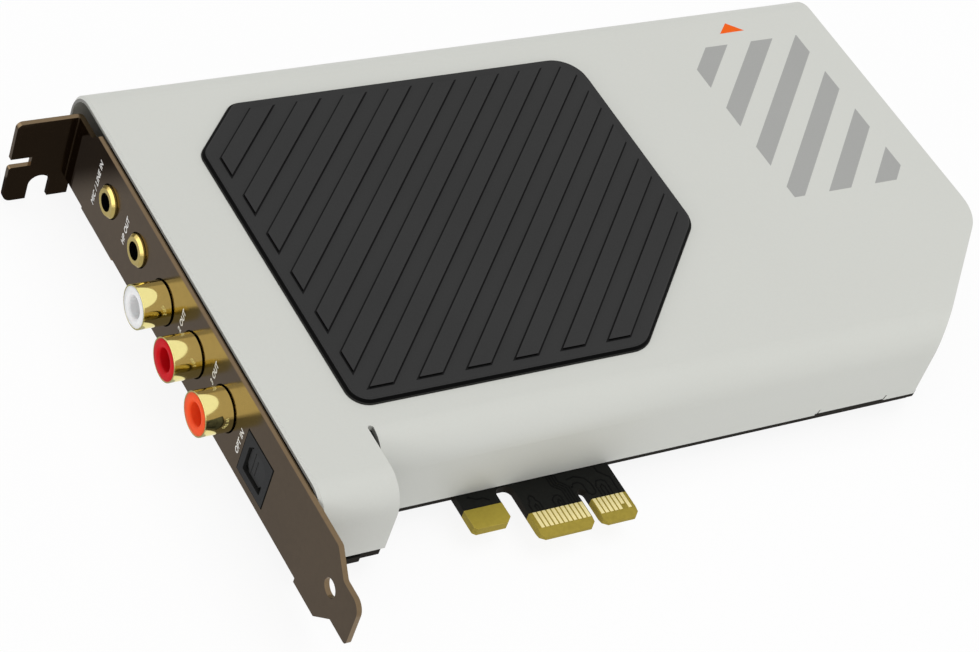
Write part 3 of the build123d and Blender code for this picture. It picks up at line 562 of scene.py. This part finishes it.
ferrule_gold = (0.80, 0.62, 0.20)
# Painted shade: a darker gold for the flank that faces sideways
flank_shade_gold = (0.34, 0.24, 0.07)
# Painted shade: black for the faces that line the bore
bore_shade_black = (0.004, 0.004, 0.004)
ferrule_metal = 0.8
flank_tilt = 0.5
bore_inward = -0.5           # a face that looks back at the middle by more lines the bore
for jack in ("line_in", "headphone"):
    ferrule_look = finish(jack + "_gold", ferrule_gold, 0.15, grain=2600.0, tone=0.04, uneven=0.03, bump=0.02)
    tree = ferrule_look.node_tree
    low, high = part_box(jack + "_ferrule")
    place = add(tree, "TexCoord").outputs["Object"]
    normal = add(tree, "NewGeometry").outputs["Normal"]
    from_middle = add(tree, "VectorMath", {0: place, 1: (low + high) / 2}, operation="SUBTRACT").outputs[0]
    outward = add(tree, "VectorMath", {0: from_middle, 1: normal}, operation="DOT_PRODUCT").outputs["Value"]
    # Painted shade: faces that line the bore are black and not metallic, as the hole's shade
    plated = maths(tree, "GREATER_THAN", outward, bore_inward * mm)
    # Painted shade: the flank that faces sideways is a darker gold than the front face
    flank = within(tree, facing_axes(tree)["X"], -flank_tilt, flank_tilt)
    turned = blend(tree, flank, ferrule_gold, flank_shade_gold)
    recolour(ferrule_look, blend(tree, plated, bore_shade_black, turned),
             metallic=both_of(tree, plated, ferrule_metal))
    dress(ferrule_look, jack + "_ferrule")
dress(block_look, "line_in_housing", "headphone_housing")
dress(lead_look, "line_in_contacts", "headphone_contacts", "optical_leads")


# Optical socket
# A moulded square housing in dark grey with a sprung flap that keeps dust out, and the receiver behind.
# The flap's raised face has cut corners, sits just inside the mouth and carries two fine ribs.

optic_grey = (0.020, 0.020, 0.019)
flap_grey = (0.026, 0.026, 0.025)
receiver_dark = (0.016, 0.010, 0.012)
flap_face_t, flap_sink, flap_round = 0.62, 0.05, 0.12
flap_half = [(1.9, -2.9), (3.05, -1.3), (3.05, 1.95), (2.0, 2.95)]
flap_outline = flap_half + [(-y, z) for y, z in reversed(flap_half)]
rib_w, rib_h, rib_round = 0.2, 0.07, 0.03
ribs = [(1.36, -2.6, 2.3), (0.18, -2.0, 1.4)]          # place across the flap, foot and head

optic_look = finish("optic_grey", optic_grey, 0.42, grain=2600.0, tone=0.08, bump=0.2, gloss=0.2)
flap_look = finish("flap_grey", flap_grey, 0.40, grain=2600.0, tone=0.08, bump=0.2, gloss=0.2)
receiver_look = finish("receiver_dark", receiver_dark, 0.22, tone=0.1)
dress(optic_look, "optical_housing")
dress(flap_look, "optical_shutter")
dress(receiver_look, "optical_receiver")
flap_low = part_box("optical_shutter")[0] / mm
housing_low, housing_high = (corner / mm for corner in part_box("optical_housing"))
mouth_y = (housing_low.y + housing_high.y) / 2
mouth_z = housing_high.z - (housing_high.y - housing_low.y) / 2


def flap_piece(name, outline, back, front, radius, look):
    """A slab on the flap, drawn in the plane of the mouth and standing out towards the plug."""
    bm = bmesh.new()
    raise_flat(bm, [(mouth_y + y, mouth_z + z) for y, z in outline], 0.0, back - front)
    bm.transform(Matrix(((0, 0, -1, back * mm), (1, 0, 0, 0), (0, 1, 0, 0), (0, 0, 0, 1))))
    round_edges(bm, bm.edges[:], radius)
    fit_piece(name, bm, look, body="shutter")


flap_front = flap_low.x - flap_face_t
flap_piece("flap_face", flap_outline, flap_low.x + flap_sink, flap_front, flap_round, flap_look)
for i, (y, low, high) in enumerate(ribs):
    left, right = y - rib_w / 2, y + rib_w / 2
    flap_piece("flap_rib_%d" % (i + 1), [(left, low), (right, low), (right, high), (left, high)],
               flap_front + rib_h, flap_front - rib_h, rib_round, optic_look)


# Bracket
# A strip of 1 mm steel sheet, punched for the ports, folded over for the screw tab and plated a dark
# polished bronze that mirrors the sockets. A lug under the board takes the bracket screw.

bronze = (0.190, 0.134, 0.078)
steel = (0.56, 0.56, 0.55)
bracket_look = finish("dark_bronze_plating", bronze, 0.15, metallic=1.0, grain=900.0, cloud=45.0,
                      tone=0.06, uneven=0.035, bump=0.02, depth=0.01)
dress(bracket_look, "bracket")
steel_look = finish("bright_steel", steel, 0.28, metallic=1.0, grain=3500.0, tone=0.08)
dress(steel_look, "bracket_screw", "bracket_nut", "cover_posts", "cover_screws")


# Port words
# Plain words beside the ports, in slanted letters that read across the bracket. They are printed on the
# plating in a thin film of white ink.

ink_white = (0.80, 0.79, 0.77)
ink_t = 0.02
bracket_face = -60.56
letter_size, letter_weight, letter_slant = 1.62, 0.042, 0.2
letter_space, word_space = 1.06, 1.2

# The words, their foot's place along the bracket and their middle's height over the board
port_words = [("MIC / LINE IN", 94.1, 8.35), ("HP OUT", 81.0, 8.4), ("2 OUT", 56.3, 9.6),
              ("3 OUT", 42.6, 10.2), ("OPT IN", 30.0, 6.1)]
ink_look = finish("white_ink", ink_white, 0.5, grain=3000.0, tone=0.04)
for i, (words, y, z) in enumerate(port_words):
    lettering = bpy.data.curves.new("port_word", "FONT")
    lettering.body = words
    lettering.size = letter_size * mm
    lettering.offset = letter_weight * mm
    lettering.shear = letter_slant
    lettering.space_character = letter_space
    lettering.space_word = word_space
    lettering.align_x = "CENTER"
    lettering.extrude = ink_t / 2 * mm
    drawn = bpy.data.objects.new("port_word", lettering)
    bpy.context.scene.collection.objects.link(drawn)
    bpy.context.view_layer.update()
    flat = bpy.data.meshes.new_from_object(drawn.evaluated_get(bpy.context.evaluated_depsgraph_get()))
    bpy.data.objects.remove(drawn)
    bm = bmesh.new()
    bm.from_mesh(flat)
    bm.transform(Matrix(((0, 0, -1, (bracket_face - ink_t / 2) * mm), (0, 1, 0, y * mm), (1, 0, 0, z * mm),
                         (0, 0, 0, 1))))
    fit_piece("port_word_%d" % (i + 1), bm, ink_look)


# Cover
# One sheet of aluminium bent down along both long edges, with a wing beside the bracket, coated in a satin
# off-white paint. Faces that look back along -X, the cut edges towards the bracket, are a darker grey as
# painted shade. Posts on the board hold it.

paint = (0.640, 0.648, 0.608)
shaded_edge_grey = (0.25, 0.25, 0.235)
edge_shade_from, edge_shade_full = -0.70, -1.0
cover_look = finish("satin_paint", paint, 0.46, grain=2200.0, cloud=25.0, tone=0.012, uneven=0.04,
                    bump=0.05, depth=0.015, gloss=0.25)
tree = cover_look.node_tree
# Painted shade: faces that look back along -X blend to a darker grey
cut_edge = add(tree, "MapRange", {0: facing_axes(tree)["X"], 1: edge_shade_from, 2: edge_shade_full}).outputs[0]
recolour(cover_look, blend(tree, cut_edge, paint, shaded_edge_grey))
dress(cover_look, "cover")


# Cover plate
# A six sided charcoal plate bonded to the cover, with raised bars on the slant and a black ring of painted
# shade round each bar's foot. Its bevelled rim is smooth: face colour at its top, painted shade in near black
# below, and a lighter band of painted bounce light at its foot. Its face is fine matt.

plate_face = (0.0385, 0.0385, 0.0385)
# Painted shade and bounce light on the plate's bevelled rim
rim_painted_shade = (0.002, 0.002, 0.002)
foot_painted_light = (0.024, 0.024, 0.022)
# Painted shade: the near black of the rings round the bars' feet
bar_shade_black = (0.004, 0.004, 0.004)
bar_h = 0.4
level_tilt, shoulder_tilt = 0.9, 0.5
shoulder_depth, shoulder_over, foot_depth = 0.28, 0.01, 0.75
bar_shade_w, bar_shade_t = 0.30, 0.03
plate_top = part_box("cover_plate")[1].z
face_level = plate_top - bar_h * mm

plate_look = finish("charcoal", plate_face, 0.60, grain=3200.0, cloud=40.0, tone=0.06, bump=0.2, gloss=0.03)
tree = plate_look.node_tree
upright = facing_axes(tree)["Z"]
height = object_axes(tree)["Z"]
level = maths(tree, "GREATER_THAN", upright, level_tilt)
shoulder = both_of(tree, within(tree, upright, shoulder_tilt, level_tilt),
                   within(tree, height, face_level - shoulder_depth * mm, face_level + shoulder_over * mm))
face = maths(tree, "MAXIMUM", level, shoulder)
# Painted shade and light: the rim below the face is near black as shade, its foot a little lighter as bounce
# light
foot = maths(tree, "LESS_THAN", height, face_level - foot_depth * mm)
rim_shade_and_light = blend(tree, foot, rim_painted_shade, foot_painted_light)
recolour(plate_look, blend(tree, face, rim_shade_and_light, plate_face))
dress(plate_look, "cover_plate")

# Painted shade: a black ring stands in for the shade round each bar's foot. It is the bars' outline, widened
# with mitred corners and let down onto the plate's face
bm = bmesh.new()
bm.from_mesh(solids["cover_plate"].data)
bmesh.ops.remove_doubles(bm, verts=bm.verts, dist=1e-6)
bm.normal_update()
bar_level = plate_top - bar_h / 2 * mm
rest = [f for f in bm.faces if f.normal.z < level_tilt or f.calc_center_median().z < bar_level]
bmesh.ops.delete(bm, geom=rest, context="FACES")
bar_faces = bm.faces[:]
rim = [e for e in bm.edges if e.is_boundary]
outward = {}
for e in rim:
    out = (e.verts[1].co - e.verts[0].co).normalized().cross(Vector((0, 0, 1)))
    if out.dot(e.link_faces[0].calc_center_median() - e.verts[0].co) > 0:
        out.negate()
    for v in e.verts:
        outward.setdefault(v.co.to_tuple(6), []).append(out)
for v in verts_of(bmesh.ops.extrude_edge_only(bm, edges=rim)):
    first, second = outward[v.co.to_tuple(6)]
    v.co += (first + second) / (1 + first.dot(second)) * bar_shade_w * mm
bmesh.ops.delete(bm, geom=bar_faces, context="FACES")
bmesh.ops.translate(bm, verts=bm.verts, vec=(0, 0, -bar_h * mm))
lifted = bmesh.ops.extrude_face_region(bm, geom=bm.faces[:], use_keep_orig=True)
bmesh.ops.translate(bm, verts=verts_of(lifted), vec=(0, 0, bar_shade_t * mm))
bar_shade_look = finish("bar_shade_black", bar_shade_black, 0.7, tone=0.1, gloss=0.1)
fit_piece("bar_foot_shade", bm, bar_shade_look)


# Cover print
# Screen printed marks on the cover: six grey slanted stripes cut to one rectangle at the far end, and a
# small orange pointer near the back edge.

stripe_grey = (0.355, 0.357, 0.345)
pointer_orange = (0.88, 0.120, 0.004)
print_t = 0.02
stripe_low, stripe_high = Vector((71.95, 53.55)), Vector((101.8, 98.2))
stripe_count, stripe_first, stripe_pitch, stripe_w = 6, -20.3, 11.85, 5.7
stripe_reach = 80.0
pointer_outline = [(86.95, 104.5), (83.8, 101.6), (90.15, 101.7)]
cover_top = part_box("cover")[1].z / mm

stripe_mid = (stripe_low + stripe_high) / 2
left, right = stripe_mid.x - stripe_reach, stripe_mid.x + stripe_reach
trims = [(stripe_low, (-1, 0, 0)), (stripe_low, (0, -1, 0)), (stripe_high, (1, 0, 0)),
         (stripe_high, (0, 1, 0))]
bm = bmesh.new()
for i in range(stripe_count):
    start = stripe_first + i * stripe_pitch
    end = start + stripe_w
    slab = bmesh.new()
    raise_flat(slab, [(left, left - start), (right, right - start), (right, right - end), (left, left - end)],
               cover_top, print_t)
    for point, out in trims:
        cut = bmesh.ops.bisect_plane(slab, geom=slab.verts[:] + slab.edges[:] + slab.faces[:],
                                     plane_co=(point.x * mm, point.y * mm, 0), plane_no=out, clear_outer=True)
        cut_edges = [e for e in cut["geom_cut"] if isinstance(e, bmesh.types.BMEdge)]
        if cut_edges:
            bmesh.ops.contextual_create(slab, geom=cut_edges)
    band = bpy.data.meshes.new("stripe")
    slab.to_mesh(band)
    slab.free()
    bm.from_mesh(band)
    bpy.data.meshes.remove(band)
stripe_look = finish("grey_print", stripe_grey, 0.5, grain=2500.0, tone=0.03)
fit_piece("cover_stripes", bm, stripe_look)

bm = bmesh.new()
raise_flat(bm, pointer_outline, cover_top, print_t)
pointer_look = finish("orange_print", pointer_orange, 0.5, grain=2500.0, tone=0.03, gloss=0.1)
fit_piece("cover_pointer", bm, pointer_look)


# Studio
# A white floor under soft light from above, the left and the front. Cards that only gloss can see lie and
# stand beside the bracket, so its polished plating mirrors them as it does in a studio.

def seen_rays(tree):
    """1 for rays from the camera, from gloss and through glass."""
    rays = add(tree, "LightPath").outputs
    first = maths(tree, "MAXIMUM", rays["Is Camera Ray"], rays["Is Glossy Ray"])
    return maths(tree, "MAXIMUM", first, rays["Is Transmission Ray"])


def bare_look(name):
    """A material with nothing joined to its output."""
    look = bpy.data.materials.new(name)
    look.use_nodes = True
    look.node_tree.nodes.remove(look.node_tree.nodes["Principled BSDF"])
    return look


def stage_sheet(name, corners, look):
    """A flat sheet that belongs to the studio."""
    bm = bmesh.new()
    bm.faces.new([bm.verts.new(corner) for corner in corners])
    sheet = make_object(name, bm, look)
    return sheet


floor_white = (0.93, 0.93, 0.93, 1)
floor_glow, floor_glow_extra = 0.5, 0.4
floor_half, floor_gap = 3.0, 0.0002
floor_level = bare_box[0].z - floor_gap
floor_look = bare_look("white_floor")
tree = floor_look.node_tree
lit = add(tree, "BsdfDiffuse", {"Color": floor_white})
white = add(tree, "Emission", {"Color": (1, 1, 1, 1), "Strength": 1.0})
share = maths(tree, "MULTIPLY_ADD", seen_rays(tree), floor_glow_extra, floor_glow)
mixed = add(tree, "MixShader", {0: share, 1: lit.outputs[0], 2: white.outputs[0]})
clear = add(tree, "BsdfTransparent", {"Color": (1, 1, 1, 1)})
from_below = add(tree, "NewGeometry").outputs["Backfacing"]
one_sided = add(tree, "MixShader", {0: from_below, 1: mixed.outputs[0], 2: clear.outputs[0]})
tree.links.new(one_sided.outputs[0], tree.nodes["Material Output"].inputs["Surface"])
floor_corners = [(x * floor_half, y * floor_half, floor_level)
                 for x, y in ((-1, -1), (1, -1), (1, 1), (-1, 1))]
stage_sheet("floor", floor_corners, floor_look)

grey_shade = (0.38, 0.39, 0.42)
dark_shade = (0.06, 0.055, 0.055)
card_lift, foot_lift = 0.0001, 0.00005
card_level = floor_level + card_lift
foot_level = card_level + foot_lift
grey_left, card_right, grey_near, grey_far = -0.150, -0.0607, -0.05, 0.16
tab_left, tab_y, strip_y, tab_top = -0.082, 0.1036, 0.1030, 0.012
foot_right, foot_under, foot_near, foot_far = -0.050, 0.096, 0.1031, 0.112
fade_low, fade_high, fade_most = -4.5, 5.0, 0.9
grey_outline = [(grey_left, grey_near), (card_right, grey_near), (card_right, grey_far),
                (grey_left, grey_far)]
foot_outline = [(tab_left, foot_near), (card_right, foot_near), (card_right, foot_under),
                (foot_right, foot_under), (foot_right, foot_far), (tab_left, foot_far)]
upright_outline = [(tab_left, card_level), (card_right, card_level), (card_right, tab_top),
                   (tab_left, tab_top)]
gloss_cards = [
    ("grey_card", grey_shade, [(x, y, card_level) for x, y in grey_outline]),
    ("tab_card", dark_shade, [(x, tab_y, z) for x, z in upright_outline]),
    ("foot_card", dark_shade, [(x, y, foot_level) for x, y in foot_outline]),
    ("strip_card", dark_shade, [(x, strip_y, z) for x, z in upright_outline]),
]
for name, shade, corners in gloss_cards:
    look = bare_look(name)
    tree = look.node_tree
    glow = add(tree, "Emission", {"Color": (*shade, 1), "Strength": 1.0})
    if name == "strip_card":
        fade = add(tree, "MapRange", {0: object_axes(tree)["Z"], 1: fade_low * mm, 2: fade_high * mm,
                                      3: fade_most, 4: 0.0}, interpolation_type="SMOOTHSTEP").outputs[0]
        tree.links.new(blend(tree, fade, shade, grey_shade), glow.inputs["Color"])
    tree.links.new(glow.outputs[0], tree.nodes["Material Output"].inputs["Surface"])
    sheet = stage_sheet(name, corners, look)
    sheet.visible_camera = False
    sheet.visible_diffuse = False
    sheet.visible_shadow = False

ambient = 0.56
world = bpy.data.worlds.new("studio")
bpy.context.scene.world = world
world.use_nodes = True
tree = world.node_tree
sky = tree.nodes["Background"]
sky.inputs["Color"].default_value = (1, 1, 1, 1)
strength = maths(tree, "MULTIPLY_ADD", seen_rays(tree), 1.0 - ambient, ambient)
tree.links.new(strength, sky.inputs["Strength"])

# Each softbox's place, width, height, watts, and whether it lights gloss, paint or all
middle = Vector((0.02, 0.055, 0.01))
softboxes = [
    ("left_softbox", (-0.60, -0.10, 0.55), 2.6, 1.3, 8.3, "gloss"),
    ("left_fill", (-0.80, -0.15, 0.16), 0.5, 0.25, 1.3, "paint"),
    ("right_softbox", (0.50, -0.05, 1.60), 1.4, 1.4, 12.4, "paint"),
    ("front_softbox", (0.0, -0.80, 0.45), 0.5, 0.4, 0.5, "all"),
]
for name, place, width, height, watts, lights in softboxes:
    lamp = bpy.data.lights.new(name, "AREA")
    lamp.shape = "RECTANGLE"
    lamp.size = width
    lamp.size_y = height
    lamp.energy = watts
    softbox = bpy.data.objects.new(name, lamp)
    softbox.location = place
    softbox.rotation_euler = (middle - Vector(place)).to_track_quat("-Z", "Y").to_euler()
    softbox.visible_diffuse = lights != "gloss"
    softbox.visible_glossy = lights != "paint"
    bpy.context.scene.collection.objects.link(softbox)

sensor_w, focal_length = 36.0, 107.77
camera_at = (-0.28340, -0.25034, 0.37082)
camera_right, camera_up = (0.8416, -0.4644, 0.2757), (0.1603, 0.7022, 0.6937)
camera_back = (-0.5158, -0.5397, 0.6654)
bpy.context.scene.view_settings.view_transform = "Standard"
lens = bpy.data.cameras.new("camera")
lens.sensor_fit = "HORIZONTAL"
lens.sensor_width = sensor_w
lens.lens = focal_length
camera = bpy.data.objects.new("camera", lens)
rows = zip(camera_right, camera_up, camera_back, camera_at)
camera.matrix_world = Matrix((*rows, (0, 0, 0, 1)))
bpy.context.scene.collection.objects.link(camera)
bpy.context.scene.camera = camera
